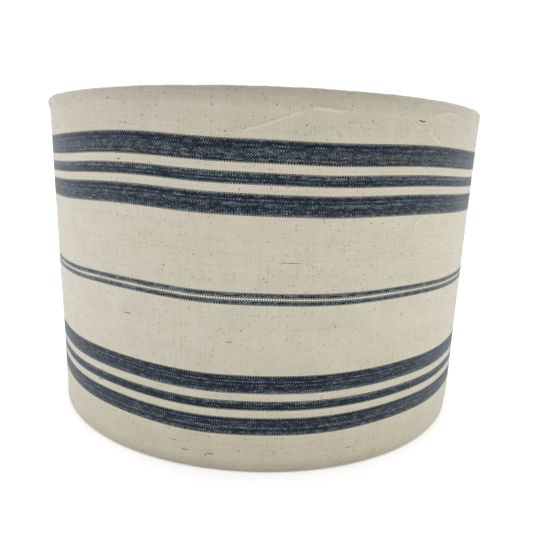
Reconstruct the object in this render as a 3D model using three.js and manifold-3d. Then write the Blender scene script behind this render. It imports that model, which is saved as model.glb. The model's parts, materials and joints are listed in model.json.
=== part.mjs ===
// Drum lampshade: woven cloth on a rigid liner, rolled over two wire rings, with a
// reversible gimbal that carries the lampholder ring. Millimetres, +Z up.
// Origin: centre of the base. The gimbal's pivot line runs along X, the cloth's seam is at +Y.
import * as THREE from "three";
import { mergeVertices } from "three/addons/utils/BufferGeometryUtils.js";
import Module from "manifold-3d";

// ---- driving dimensions ----
const HEIGHT = 207; // over both rolled edges
const WALL_R = 151.5; // outside of the cloth wall
const RIM_R = 152.0; // outside of the cloth over a ring
const CLOTH = 0.5; // cloth thickness
const LINER = 0.3; // rigid liner thickness
const TAPE = 0.2; // double-sided tape round each ring
const WIRE_R = 1.5; // ring wire radius
const FLARE = 12; // height over which the wall widens to the ring
const LAP = 10; // overlap at the seam
const FACETS = 48; // sides of every round wall, one centred on each axis

const RING_R = RIM_R - CLOTH - LINER - TAPE - WIRE_R; // ring wire's centre line
const RING_Z = HEIGHT - CLOTH - TAPE - WIRE_R; // top ring wire's centre height

const PIVOT_Z = HEIGHT - 28; // gimbal pivot line
const DROP = 25; // pivot line to arm wire's centre
const LUG_OUT = 147.2; // outer face of the pivot lugs
const LUG_T = 1.5; // lug thickness
const LUG_W = 10; // lug width
const LUG_END = 6; // lug end below the pivot line
const RIVET_R = 2.0; // rivet shank
const HOLE_R = 2.3; // rivet hole
const EYE_T = 1.4; // flattened eye of an arm
const EYE_R = 5.6;
const LEG_TOP = 4.6; // arm wire starts this far below the pivot line, clear of the washer
const ARM_X = 143.7; // arm wire's centre, vertical leg
const ARM_D = 3.0; // arm wire diameter
const BEND_R = 7.0; // arm bend, centre line
const ARM_END = 25.2; // inner end of an arm

const FITTER_OUT = 29.0; // lampholder ring, outer radius
const FITTER_HOLE = 21.0; // its hole
const FITTER_T = 1.2;
const REDUCER_OUT = 24.0; // plastic reducer, flange radius
const REDUCER_SPIGOT = 20.6;
const REDUCER_HOLE = 14.5;
const REDUCER_T = 1.5;
const REDUCER_DEPTH = 3.4; // spigot below the flange

// ---- materials ----
const cloth = new THREE.MeshStandardMaterial({ color: 0xd8d1bf, roughness: 0.92, metalness: 0 });
const pvc = new THREE.MeshStandardMaterial({ color: 0xf1efe9, roughness: 0.45, metalness: 0 });
const coated = new THREE.MeshStandardMaterial({ color: 0xf0efec, roughness: 0.4, metalness: 0.1 });
const adhesive = new THREE.MeshStandardMaterial({ color: 0xe8e4d6, roughness: 0.5, metalness: 0 });
const steel = new THREE.MeshStandardMaterial({ color: 0xb9bbbd, roughness: 0.35, metalness: 0.9 });
const plastic = new THREE.MeshStandardMaterial({ color: 0xf4f4f1, roughness: 0.38, metalness: 0 });

// ---- helpers ----
const wasm = await Module();
wasm.setup();

function toSolid(geometry) {
  const g = geometry.clone();
  g.deleteAttribute("normal");
  g.deleteAttribute("uv");
  const m = mergeVertices(g, 1e-3);
  return new wasm.Manifold(
    new wasm.Mesh({
      numProp: 3,
      vertProperties: new Float32Array(m.attributes.position.array),
      triVerts: new Uint32Array(m.index.array),
    }),
  );
}

function toGeometry(solid) {
  const m = solid.getMesh();
  const g = new THREE.BufferGeometry();
  const p = new Float32Array(m.numVert * 3);
  for (let i = 0; i < m.numVert; i++)
    for (let k = 0; k < 3; k++) p[i * 3 + k] = m.vertProperties[i * m.numProp + k];
  g.setAttribute("position", new THREE.BufferAttribute(p, 3));
  g.setIndex(new THREE.BufferAttribute(new Uint32Array(m.triVerts), 1));
  g.computeVertexNormals();
  return g;
}

// A ring about Z from a closed profile of [radius, height] points.
function ring(profile, facets = FACETS) {
  const area = profile.reduce((s, [r, z], i) => {
    const [r2, z2] = profile[(i + 1) % profile.length];
    return s + r * z2 - r2 * z;
  }, 0);
  const pts = (area < 0 ? [...profile].reverse() : profile).map(([r, z]) => new THREE.Vector2(r, z));
  pts.push(pts[0].clone());
  const g = new THREE.LatheGeometry(pts, facets, Math.PI / facets);
  g.rotateX(Math.PI / 2); // lathe axis Y becomes Z
  return g;
}

// A round disc or ring along X between two x values.
function alongX(profile, facets = 24) {
  const g = ring(profile, facets);
  g.rotateY(Math.PI / 2); // Z becomes X
  return g;
}

function box(x0, x1, y0, y1, z0, z1) {
  const g = new THREE.BoxGeometry(x1 - x0, y1 - y0, z1 - z0);
  g.translate((x0 + x1) / 2, (y0 + y1) / 2, (z0 + z1) / 2);
  return g;
}

const part = new THREE.Group();
function add(name, geometry, material, parent = part) {
  const mesh = new THREE.Mesh(geometry, material);
  mesh.name = name;
  parent.add(mesh);
  return mesh;
}

// Points on a circle about the ring wire's centre, angle in degrees from outward.
const round = (radius, degrees, zc = RING_Z) => [
  RING_R + radius * Math.cos((degrees * Math.PI) / 180),
  zc + radius * Math.sin((degrees * Math.PI) / 180),
];
const mirror = (points) => points.map(([r, z]) => [r, HEIGHT - z]).reverse();

// ---- cloth cover: one wall, rolled round both rings and tucked under them ----
const IN = WIRE_R + TAPE; // cloth's inside round the wire
const OUT = IN + CLOTH;
const clothTop = [
  [WALL_R, HEIGHT - FLARE],
  [RIM_R, RING_Z],
  [RIM_R - 0.65, RING_Z + 1.5],
  [RING_R + 0.6, HEIGHT],
  [RING_R - 0.6, HEIGHT],
  round(OUT, 135),
  round(OUT, 180),
  round(OUT, 225),
  [RING_R + 0.1, RING_Z - 2.3],
  [RING_R + 0.1, RING_Z - 1.8],
  round(IN, 225),
  round(IN, 180),
  round(IN, 135),
  round(IN, 90),
  round(IN, 45),
  [RING_R + IN, RING_Z + 0.6],
  [RING_R + IN + LINER, RING_Z + 0.6],
  [RIM_R - CLOTH, RING_Z],
  [WALL_R - CLOTH, HEIGHT - FLARE],
];
// outer side goes up, over the top ring and down the inside, then round the bottom ring
const clothProfile = [...clothTop, ...mirror(clothTop)];
let cover = toSolid(ring(clothProfile));
const flat = Math.cos(Math.PI / FACETS); // a facet's distance over its corner radius
cover = cover.add(
  toSolid(box(-LAP / 2, LAP / 2, WALL_R * flat - 0.05, WALL_R * flat + CLOTH, FLARE + 1, HEIGHT - FLARE - 1)),
);
for (const s of [-1, 1]) {
  const notch = s > 0 ? [145, 148.4] : [-148.4, -145];
  cover = cover.subtract(toSolid(box(notch[0], notch[1], -6, 6, RING_Z - 3.5, RING_Z + 1.05)));
}
add("fabric_cover", toGeometry(cover), cloth);

// ---- rigid liner with its lap inside ----
const linerTop = [
  [WALL_R - CLOTH, HEIGHT - FLARE],
  [RIM_R - CLOTH, RING_Z],
  [RIM_R - CLOTH, RING_Z + 0.6],
  [RIM_R - CLOTH - LINER, RING_Z + 0.6],
  [RIM_R - CLOTH - LINER, RING_Z],
  [WALL_R - CLOTH - LINER, HEIGHT - FLARE],
];
const inner = (WALL_R - CLOTH - LINER) * flat;
const liner = toSolid(ring([...linerTop, ...mirror(linerTop)])).add(
  toSolid(box(-LAP / 2, LAP / 2, inner - LINER, inner + 0.05, FLARE + 1, HEIGHT - FLARE - 1)),
);
add("liner_panel", toGeometry(liner), pvc);

// ---- rings and the tape round them ----
for (const [name, zc] of [
  ["top", RING_Z],
  ["bottom", HEIGHT - RING_Z],
]) {
  const up = zc > HEIGHT / 2;
  const wire = [0, 45, 90, 135, 180, 225, 270, 315].map((a) => round(WIRE_R, a, zc));
  add(name + "_ring", ring(wire), coated);
  const a = up ? [0, 45, 90, 135, 180] : [0, -45, -90, -135, -180];
  const tape = [...a.map((d) => round(WIRE_R, d, zc)), ...[...a].reverse().map((d) => round(IN, d, zc))];
  add(name + "_ring_tape", ring(tape), adhesive);
}

// ---- pivots: a lug welded to the top ring, a rivet and a washer on each side ----
function lug() {
  const s = new THREE.Shape();
  const top = RING_Z - 0.4 - PIVOT_Z;
  s.moveTo(LUG_W / 2, top);
  s.lineTo(-LUG_W / 2, top);
  s.lineTo(-LUG_W / 2, -1);
  s.absarc(0, -1, LUG_W / 2, Math.PI, 2 * Math.PI, false);
  s.lineTo(LUG_W / 2, top);
  const hole = new THREE.Path();
  hole.absarc(0, 0, HOLE_R, 0, 2 * Math.PI, true);
  s.holes.push(hole);
  const g = new THREE.ExtrudeGeometry(s, { depth: LUG_T, bevelEnabled: false, curveSegments: 10 });
  // shape x -> row Y, shape y -> row Z, depth -> row X
  g.applyMatrix4(new THREE.Matrix4().makeBasis(new THREE.Vector3(0, 1, 0), new THREE.Vector3(0, 0, 1), new THREE.Vector3(1, 0, 0)));
  g.translate(LUG_OUT - LUG_T, 0, PIVOT_Z);
  return g;
}

const lugIn = LUG_OUT - LUG_T;
const washer0 = lugIn - 0.75;
const eyeOut = washer0 - 0.1;
const eyeIn = eyeOut - EYE_T;
const rivetProfile = [
  [0.0, eyeIn - 1.2],
  [2.0, eyeIn - 1.1],
  [3.2, eyeIn - 0.5],
  [3.2, eyeIn - 0.1],
  [RIVET_R, eyeIn - 0.1],
  [RIVET_R, LUG_OUT + 0.1],
  [3.2, LUG_OUT + 0.1],
  [3.2, LUG_OUT + 0.5],
  [2.0, LUG_OUT + 1.1],
  [0.0, LUG_OUT + 1.2],
];
function rivet() {
  // open profile that starts and ends on the axis
  const g = new THREE.LatheGeometry(rivetProfile.map(([r, z]) => new THREE.Vector2(r, z)), 20);
  g.rotateX(Math.PI / 2);
  g.rotateY(Math.PI / 2);
  g.translate(0, 0, PIVOT_Z);
  return g;
}
function pivotWasher() {
  const g = alongX([[2.4, washer0], [4.3, washer0], [4.3, lugIn - 0.1], [2.4, lugIn - 0.1]], 20);
  g.translate(0, 0, PIVOT_Z);
  return g;
}

// ---- gimbal: two wire arms with flattened eyes, the lampholder ring and its reducer ----
function arm() {
  const h = ARM_D / 2, b = 0.86; // b: corner of the eight-sided wire
  const low = -DROP; // wire's centre line, from the pivot line
  const x = ARM_X, r = BEND_R;
  const s = new THREE.Shape();
  s.moveTo(x + h, -LEG_TOP);
  s.lineTo(x + h, low + r);
  s.absarc(x - r, low + r, r + h, 0, -Math.PI / 2, true);
  s.lineTo(ARM_END, low - h);
  s.lineTo(ARM_END, low + h);
  s.lineTo(x - r, low + h);
  s.absarc(x - r, low + r, r - h, -Math.PI / 2, 0, false);
  s.lineTo(x - h, -LEG_TOP);
  s.closePath();
  const g = new THREE.ExtrudeGeometry(s, {
    depth: ARM_D - 2 * b,
    bevelEnabled: true,
    bevelThickness: b,
    bevelSize: b,
    bevelOffset: -b,
    bevelSegments: 1,
    curveSegments: 7,
  });
  // shape x -> row X, shape y -> row Z, depth -> row -Y
  g.applyMatrix4(new THREE.Matrix4().makeBasis(new THREE.Vector3(1, 0, 0), new THREE.Vector3(0, 0, 1), new THREE.Vector3(0, -1, 0)));
  g.translate(0, ARM_D / 2 - b, PIVOT_Z);
  const disc = new THREE.CylinderGeometry(EYE_R, EYE_R, EYE_T, 24);
  disc.rotateZ(Math.PI / 2);
  disc.translate((eyeIn + eyeOut) / 2, 0, PIVOT_Z);
  const hole = new THREE.CylinderGeometry(HOLE_R, HOLE_R, 8, 24);
  hole.rotateZ(Math.PI / 2);
  hole.translate((eyeIn + eyeOut) / 2, 0, PIVOT_Z);
  return toGeometry(toSolid(g).add(toSolid(disc)).subtract(toSolid(hole)));
}

const gimbal = new THREE.Group();
part.add(gimbal);
const turn = (g, s) => {
  if (s < 0) g.rotateZ(Math.PI);
  return g;
};
for (const [side, s] of [
  ["left", -1],
  ["right", 1],
]) {
  add("pivot_lug_" + side, turn(lug(), s), coated);
  add("pivot_rivet_" + side, turn(rivet(), s), steel);
  add("pivot_washer_" + side, turn(pivotWasher(), s), steel);
  add("gimbal_arm_" + side, turn(arm(), s), coated, gimbal);
}

const fitterTop = PIVOT_Z - DROP - ARM_D / 2 - 0.1;
const c = 0.25;
add(
  "fitter_ring",
  ring(
    [
      [FITTER_HOLE, fitterTop - FITTER_T],
      [FITTER_OUT - c, fitterTop - FITTER_T],
      [FITTER_OUT, fitterTop - FITTER_T + c],
      [FITTER_OUT, fitterTop - c],
      [FITTER_OUT - c, fitterTop],
      [FITTER_HOLE, fitterTop],
    ],
    40,
  ),
  coated,
  gimbal,
);
const flange = fitterTop + 0.1;
add(
  "reducer_ring",
  ring(
    [
      [REDUCER_HOLE, flange - REDUCER_DEPTH],
      [REDUCER_SPIGOT - 0.6, flange - REDUCER_DEPTH],
      [REDUCER_SPIGOT, flange - REDUCER_DEPTH + 0.6],
      [REDUCER_SPIGOT, flange],
      [REDUCER_OUT, flange],
      [REDUCER_OUT, flange + REDUCER_T - 0.4],
      [REDUCER_OUT - 0.4, flange + REDUCER_T],
      [REDUCER_HOLE + 0.4, flange + REDUCER_T],
      [REDUCER_HOLE, flange + REDUCER_T - 0.4],
    ],
    40,
  ),
  plastic,
  gimbal,
);

export default part;
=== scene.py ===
# Drum lampshade of striped sack cloth: the looks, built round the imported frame. Metres, +Z up, front at -Y.
import bpy, bmesh, json, math
import numpy as np
from mathutils import Matrix, Vector


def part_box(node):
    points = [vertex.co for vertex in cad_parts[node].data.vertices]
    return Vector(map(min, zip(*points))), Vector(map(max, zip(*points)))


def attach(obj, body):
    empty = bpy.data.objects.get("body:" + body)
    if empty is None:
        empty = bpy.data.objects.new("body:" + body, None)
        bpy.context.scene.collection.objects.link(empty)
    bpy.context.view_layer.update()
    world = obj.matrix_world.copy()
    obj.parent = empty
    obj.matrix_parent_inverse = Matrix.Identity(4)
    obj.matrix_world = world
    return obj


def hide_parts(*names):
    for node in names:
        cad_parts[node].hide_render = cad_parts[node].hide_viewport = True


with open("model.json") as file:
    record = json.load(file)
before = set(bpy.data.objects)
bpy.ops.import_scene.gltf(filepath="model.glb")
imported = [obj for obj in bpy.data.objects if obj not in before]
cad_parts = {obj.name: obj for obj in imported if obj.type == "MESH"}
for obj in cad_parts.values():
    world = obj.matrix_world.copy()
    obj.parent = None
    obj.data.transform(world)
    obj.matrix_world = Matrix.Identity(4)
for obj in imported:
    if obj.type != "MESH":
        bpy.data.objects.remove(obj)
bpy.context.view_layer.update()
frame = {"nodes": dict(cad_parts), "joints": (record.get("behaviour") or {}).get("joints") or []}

MM = 0.001
FACET = math.cos(math.pi / 48)              # the frame's round walls have 48 sides

# ---- sizes, from the frame ----
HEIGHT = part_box("fabric_cover")[1][2] / MM
WIRE_R = (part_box("top_ring")[1][2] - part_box("top_ring")[0][2]) / 2 / MM
RING_Z = (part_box("top_ring")[1][2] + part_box("top_ring")[0][2]) / 2 / MM
RING_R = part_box("top_ring")[1][0] / MM / FACET - WIRE_R
WALL_R = 151.5
CLOTH_T = 0.5
LAP = 10.0
ROLL = HEIGHT - RING_Z                       # cloth's outside round the wire's centre
LINER_IN = 150.7
PIVOT_Z = frame["joints"][0]["pos_m"][2] / MM
rng = np.random.default_rng(4107)

# =====================================================================================
# Node helpers
# =====================================================================================
class Nodes:
    def __init__(self, name):
        self.mat = bpy.data.materials.new(name)
        self.mat.use_nodes = True
        self.t = self.mat.node_tree
        self.t.nodes.clear()
        self.out = self.t.nodes.new("ShaderNodeOutputMaterial")
        self.p = self.t.nodes.new("ShaderNodeBsdfPrincipled")
        self.t.links.new(self.p.outputs[0], self.out.inputs["Surface"])

    def new(self, kind, **props):
        n = self.t.nodes.new(kind)
        for k, v in props.items():
            setattr(n, k, v)
        return n

    def put(self, socket, value):
        if isinstance(value, bpy.types.NodeSocket):
            self.t.links.new(value, socket)
        elif value is not None:
            socket.default_value = value

    def m(self, op, a, b=None, c=None, clamp=False):
        n = self.new("ShaderNodeMath", operation=op, use_clamp=clamp)
        for i, v in enumerate((a, b, c)):
            if v is not None:
                self.put(n.inputs[i], v)
        return n.outputs[0]

    def add(self, a, b): return self.m("ADD", a, b)
    def sub(self, a, b): return self.m("SUBTRACT", a, b)
    def mul(self, a, b): return self.m("MULTIPLY", a, b)
    def div(self, a, b): return self.m("DIVIDE", a, b)

    def step(self, v, lo, hi, to0=0.0, to1=1.0):
        n = self.new("ShaderNodeMapRange", interpolation_type="SMOOTHSTEP", clamp=True)
        self.put(n.inputs["Value"], v)
        self.put(n.inputs["From Min"], lo); self.put(n.inputs["From Max"], hi)
        self.put(n.inputs["To Min"], to0); self.put(n.inputs["To Max"], to1)
        return n.outputs["Result"]

    def lin(self, v, lo, hi, to0=0.0, to1=1.0):
        n = self.new("ShaderNodeMapRange", interpolation_type="LINEAR", clamp=True)
        self.put(n.inputs["Value"], v)
        self.put(n.inputs["From Min"], lo); self.put(n.inputs["From Max"], hi)
        self.put(n.inputs["To Min"], to0); self.put(n.inputs["To Max"], to1)
        return n.outputs["Result"]

    def vec(self, x, y, z=0.0):
        n = self.new("ShaderNodeCombineXYZ")
        for i, v in enumerate((x, y, z)):
            self.put(n.inputs[i], v)
        return n.outputs[0]

    def noise(self, vector, scale=1.0, detail=2.0, rough=0.5, dims="3D", w=None):
        n = self.new("ShaderNodeTexNoise", noise_dimensions=dims)
        self.put(n.inputs["Vector"], vector)
        if w is not None:
            self.put(n.inputs["W"], w)
        n.inputs["Scale"].default_value = scale
        n.inputs["Detail"].default_value = detail
        n.inputs["Roughness"].default_value = rough
        return n.outputs[0]

    def white(self, vector=None, w=None):
        n = self.new("ShaderNodeTexWhiteNoise", noise_dimensions="3D" if w is None else "1D")
        if w is None:
            self.put(n.inputs["Vector"], vector)
        else:
            self.put(n.inputs["W"], w)
        return n.outputs[0]

    def mix(self, fac, a, b, blend="MIX"):
        n = self.new("ShaderNodeMix", data_type="RGBA", blend_type=blend)
        self.put(n.inputs[0], fac)
        self.put(n.inputs[6], a)
        self.put(n.inputs[7], b)
        return n.outputs[2]

    def ramp(self, fac, stops, mode="LINEAR"):
        n = self.new("ShaderNodeValToRGB")
        r = n.color_ramp
        r.interpolation = mode
        while len(r.elements) > 1:
            r.elements.remove(r.elements[-1])
        r.elements[0].position, r.elements[0].color = stops[0][0], (*stops[0][1], 1)
        for pos, col in stops[1:]:
            e = r.elements.new(pos)
            e.color = (*col, 1)
        self.put(n.inputs[0], fac)
        return n.outputs[0]

    def bump(self, height, strength, distance, normal=None):
        n = self.new("ShaderNodeBump")
        n.inputs["Strength"].default_value = strength
        n.inputs["Distance"].default_value = distance
        self.put(n.inputs["Height"], height)
        if normal is not None:
            self.put(n.inputs["Normal"], normal)
        return n.outputs[0]

    def coords(self, which="Object"):
        return self.new("ShaderNodeTexCoord").outputs[which]


def lin(r, g, b):
    """sRGB 0..255 to linear."""
    return tuple(((v / 255 + 0.055) / 1.055) ** 2.4 if v > 10 else v / 255 / 12.92 for v in (r, g, b))


# =====================================================================================
# Cloth material: plain weave in the cloth's own thread space, metres along (u) and up (v)
# =====================================================================================
WARP = 0.687                                 # mm between upright yarns
WEFT = 0.66                                  # mm between level yarns
# woven stripes: heights in mm above the base, and how many level yarns from the base each edge is
STRIPES = [(25.91, 35.88), (40.94, 45.91), (50.90, 60.94), (100.72, 102.88), (104.73, 106.88),
           (146.90, 157.31), (162.14, 167.59), (172.51, 183.14)]
STRIPE_ROWS = [(38, 54), (60, 68), (74, 90), (149, 153), (154, 158), (217, 233), (239, 248), (254, 271)]
# the first and last dyed yarn of a stripe sit a little apart, so their floats show as small teeth
ROW_V = [-20.0] + [v for lo, hi in STRIPES for v in ((lo - 0.38, lo + 0.30, hi - 0.30, hi + 0.38) if hi - lo > 4 else (lo - 0.30, lo + 0.20, hi - 0.20, hi + 0.30))] + [230.0]
ROW_N = [38 - 45.53 / WEFT] + [n for lo, hi in STRIPE_ROWS for n in (lo, lo + 1, hi - 1, hi)] + [271 + (230 - 183.52) / WEFT]


def cloth_material():
    k = Nodes("striped_cloth")
    uv = k.new("ShaderNodeUVMap", uv_map="thread")
    sep = k.new("ShaderNodeSeparateXYZ")
    k.put(sep.inputs[0], uv.outputs[0])
    U = k.mul(sep.outputs[0], 1000.0)        # mm along the cloth
    V = k.mul(sep.outputs[1], 1000.0)        # level yarns from the base, times their pitch
    # yarns wander a little
    wob = k.noise(k.vec(k.mul(U, 0.03), k.mul(V, 0.15)), 1.0, 2.0)
    wob2 = k.noise(k.vec(k.mul(U, 0.10), k.mul(V, 0.03), 5.0), 1.0, 2.0)
    A = k.add(k.div(U, WARP), k.mul(k.sub(wob2, 0.5), 1.5))
    B = k.add(k.div(V, WEFT), k.mul(k.sub(wob, 0.5), 0.45))
    iA, iB = k.m("FLOOR", A), k.m("FLOOR", B)
    sA = k.m("ABSOLUTE", k.m("SINE", k.mul(A, math.pi)))
    sB = k.m("ABSOLUTE", k.m("SINE", k.mul(B, math.pi)))
    par = k.m("FLOORED_MODULO", k.add(iA, iB), 2.0)
    q = k.sub(1.0, k.mul(par, 2.0))          # +1 where the level yarn is on top
    # which level yarns are dyed
    stripe = inner = None
    for lo, hi in STRIPE_ROWS:
        d = k.m("COMPARE", k.add(iB, 0.5), (hi + lo) / 2, (hi - lo) / 2)
        e = k.m("COMPARE", k.add(iB, 0.5), (hi + lo) / 2, (hi - lo) / 2 - 1)
        stripe = d if stripe is None else k.m("MAXIMUM", stripe, d)
        inner = e if inner is None else k.m("MAXIMUM", inner, e)
    # each yarn has its own thickness and tone, changing along it
    rF = k.white(w=iB)
    rP = k.white(w=k.add(iA, 0.37))
    alongF = k.noise(k.vec(k.mul(U, 0.055), k.mul(iB, 3.71)), 1.0, 2.0, 0.6)
    alongP = k.noise(k.vec(k.mul(iA, 2.93), k.mul(V, 0.05), 9.0), 1.0, 2.0, 0.6)
    fineF = k.noise(k.vec(k.mul(U, 0.55), k.mul(iB, 7.13), 2.0), 1.0, 2.0, 0.6)
    wF = k.add(0.86, k.mul(k.sub(alongF, 0.5), 0.35))
    wF = k.add(wF, k.mul(inner, k.add(0.20, k.mul(k.sub(fineF, 0.5), 0.9))))
    wP = k.add(0.86, k.mul(k.sub(alongP, 0.5), 0.25))
    zF = k.add(k.mul(k.mul(q, sA), 0.5), k.mul(sB, wF))
    zP = k.add(k.mul(k.mul(q, sB), -0.5), k.mul(sA, wP))
    top = k.step(k.sub(zF, zP), -0.15, 0.15)
    height = k.m("MAXIMUM", zF, zP)
    # dyed yarn: streaky, each yarn on its own
    patch = k.noise(k.vec(k.mul(U, 0.06), k.mul(V, 0.16), 7.0), 1.0, 3.0, 0.55)
    dye = k.add(k.add(k.mul(alongF, 1.25), k.mul(fineF, 0.65)), k.add(k.mul(rF, 0.42), k.mul(patch, 0.46)))
    blue = k.ramp(k.sub(dye, 0.89), DYE)
    # unbleached yarn
    creamF = k.ramp(k.add(k.mul(alongF, 0.6), k.mul(k.white(w=k.add(iB, 11.3)), 0.4)), [(0.15, CREAM_LO), (0.85, CREAM_HI)])
    creamP = k.ramp(k.add(k.mul(alongP, 0.7), k.mul(rP, 0.3)), [(0.15, CREAM_LO), (0.85, CREAM_HI)])
    weft = k.mix(stripe, creamF, blue)
    # where an upright yarn crosses a dyed one it shows as a small pale dash, more where the dyed yarn is thin
    thin = k.noise(k.vec(k.mul(U, 0.21), k.mul(iB, 5.1), 13.0), 1.0, 3.0, 0.6)
    each = k.white(k.vec(iA, iB, 0.5))
    crossP = k.ramp(k.add(k.add(k.mul(k.sub(thin, 0.5), 0.95), k.mul(k.sub(each, 0.5), 0.15)), k.add(0.51, k.mul(k.sub(k.white(w=k.add(iB, 3.3)), 0.5), 0.26))), CROSS)
    edgeP = k.mix(0.40, creamP, crossP)
    warpc = k.mix(inner, k.mix(stripe, creamP, edgeP), crossP)
    col = k.mix(top, warpc, weft)
    # painted shade: the gaps between yarns are darker, the yarn crowns a touch lighter
    yarn_gap_shade = k.step(height, 0.15, 1.15, 0.80, 1.03)
    col = k.mix(1.0, col, k.vec(yarn_gap_shade, yarn_gap_shade, yarn_gap_shade), "MULTIPLY")
    # grain of the spun fibre
    fuzz = k.noise(k.vec(U, V, 3.0), 2.2, 3.0, 0.7)
    col = k.mix(1.0, col, k.ramp(fuzz, [(0.25, (0.972, 0.972, 0.97)), (0.75, (1.028, 1.028, 1.03))]), "MULTIPLY")
    # broad mottling: greyer-green and pinker clouds, as in unbleached cotton
    mot = k.noise(k.vec(k.mul(U, 0.055), k.mul(V, 0.075), 1.0), 1.0, 4.0, 0.6)
    mot2 = k.noise(k.vec(k.mul(U, 0.03), k.mul(V, 0.035), 31.0), 1.0, 3.0, 0.55)
    col = k.mix(1.0, col, k.ramp(mot, [(0.30, (0.955, 0.950, 0.930)), (0.5, (1.0, 1.0, 1.0)), (0.70, (1.03, 1.035, 1.05))]), "MULTIPLY")
    mot3 = k.noise(k.vec(k.mul(U, 0.22), k.mul(V, 0.26), 17.0), 1.0, 3.0, 0.6)
    col = k.mix(1.0, col, k.ramp(mot3, [(0.32, (0.975, 0.970, 0.955)), (0.5, (1.0, 1.0, 1.0)), (0.68, (1.015, 1.015, 1.02))]), "MULTIPLY")
    col = k.mix(1.0, col, k.ramp(mot2, [(0.35, (0.988, 1.002, 0.99)), (0.65, (1.02, 0.996, 0.995))]), "MULTIPLY")
    # thick and thin places: level slubs
    slub = k.noise(k.vec(k.mul(U, 0.11), k.mul(iB, 5.7), 21.0), 1.0, 2.0)
    slubm = k.step(slub, 0.68, 0.80)
    col = k.mix(k.mul(k.mul(slubm, 0.30), k.sub(1.0, stripe)), col, (*lin(140, 120, 96), 1))
    slubp = k.step(k.noise(k.vec(k.mul(iA, 4.3), k.mul(V, 0.09), 55.0), 1.0, 2.0), 0.71, 0.82)
    col = k.mix(k.mul(k.mul(slubp, 0.18), k.sub(1.0, stripe)), col, (*lin(146, 130, 108), 1))
    # small faint seed specks between the raised ones
    spots = None
    for f, cut, seed in ((0.24, 0.74, 0.0), (0.45, 0.90, 40.0)):
        vor = k.new("ShaderNodeTexVoronoi", voronoi_dimensions="2D", feature="F1")
        k.put(vor.inputs["Vector"], k.vec(k.add(k.mul(U, f), seed), k.mul(V, f)))
        vor.inputs["Scale"].default_value = 1.0
        vor.inputs["Randomness"].default_value = 1.0
        cell = k.new("ShaderNodeSeparateColor")
        k.put(cell.inputs[0], vor.outputs["Color"])
        d = k.add(vor.outputs["Distance"], k.mul(k.sub(fuzz, 0.5), 0.10))
        spot = k.mul(k.step(d, 0.30 * f, 0.75 * f, 1.0, 0.0), k.step(cell.outputs[0], cut, cut + 0.06))
        spot = k.mul(spot, k.add(0.25, k.mul(cell.outputs[2], 0.75)))
        spots = spot if spots is None else k.m("MAXIMUM", spots, spot)
    spots = k.mul(spots, k.sub(1.0, k.mul(stripe, 0.85)))
    col = k.mix(k.mul(spots, 0.42), col, (*lin(104, 80, 56), 1))
    # over the rings, with no white film behind, the cloth is duller, and painted shade darkens it further; the top
    # roll's crest gets a painted highlight and the bottom edge a painted contact shadow
    uv2 = k.new("ShaderNodeUVMap", uv_map="height")
    sep2 = k.new("ShaderNodeSeparateXYZ")
    k.put(sep2.inputs[0], uv2.outputs[0])
    Z = k.mul(sep2.outputs[1], 1000.0)
    high = k.ramp(k.lin(Z, HEIGHT - 10.0, HEIGHT + 1.6), [(0.0, (1, 1, 1)), (0.17, (0.97, 0.965, 0.965)), (0.36, (0.875, 0.862, 0.868)), (0.53, (0.81, 0.798, 0.806)),
                                                         (0.69, (0.775, 0.758, 0.768)), (0.83, (0.80, 0.785, 0.79)), (0.91, (1.05, 1.04, 1.05)), (1.0, (1.45, 1.45, 1.46))])
    low = k.ramp(k.lin(Z, 0.0, 10.0), [(0.0, (0.74, 0.715, 0.70)), (0.2, (0.775, 0.76, 0.76)), (0.42, (0.86, 0.85, 0.85)), (0.75, (0.99, 0.985, 0.98)), (1.0, (1, 1, 1))])
    rim_dull_and_shade = k.new("ShaderNodeAttribute", attribute_name="rim_dull_and_shade").outputs["Fac"]
    col = k.mix(rim_dull_and_shade, col, k.mix(1.0, col, high, "MULTIPLY"))
    col = k.mix(rim_dull_and_shade, col, k.mix(1.0, col, low, "MULTIPLY"))
    # painted shade: the cloth is darker towards the top, and darker and warmer towards the bottom
    col = k.mix(k.step(Z, HEIGHT - 48, HEIGHT - 10), col, k.mix(1.0, col, (0.922, 0.924, 0.920, 1), "MULTIPLY"))
    col = k.mix(k.step(Z, 34, 10), col, k.mix(1.0, col, (0.958, 0.948, 0.905, 1), "MULTIPLY"))
    # a crease where the cloth stands off the film: painted highlight makes it paler along the crest, painted shade
    # greyer beside it
    lift = k.new("ShaderNodeAttribute", attribute_name="crease").outputs["Fac"]
    col = k.mix(1.0, col, k.ramp(lift, [(0.0, (1, 1, 1)), (0.12, (0.955, 0.952, 0.945)), (0.42, (1.04, 1.04, 1.045)), (1.0, (1.26, 1.26, 1.28))]), "MULTIPLY")
    k.put(k.p.inputs["Base Color"], col)
    k.put(k.p.inputs["Roughness"], k.lin(alongF, 0.2, 0.8, 0.84, 0.96))
    k.p.inputs["Specular IOR Level"].default_value = 0.12
    k.p.inputs["Sheen Weight"].default_value = 0.34
    k.p.inputs["Sheen Roughness"].default_value = 0.46
    k.p.inputs["Sheen Tint"].default_value = (0.91, 0.97, 1.0, 1)
    h = k.add(k.add(height, k.mul(slubm, 0.35)), k.mul(fuzz, 0.6))
    k.put(k.p.inputs["Normal"], k.bump(h, 0.40, 0.00014))
    return k.mat


DYE = [(0.22, lin(1, 3, 11)), (0.40, lin(2, 7, 20)), (0.52, lin(4, 15, 31)), (0.68, lin(24, 39, 56)), (0.88, lin(64, 80, 95))]
CROSS = [(0.34, lin(3, 10, 22)), (0.47, lin(22, 33, 46)), (0.60, lin(72, 83, 91)), (0.80, lin(138, 143, 141))]
CREAM_LO = lin(175, 169, 151)
CREAM_HI = lin(188.5, 182.5, 165)

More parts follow.
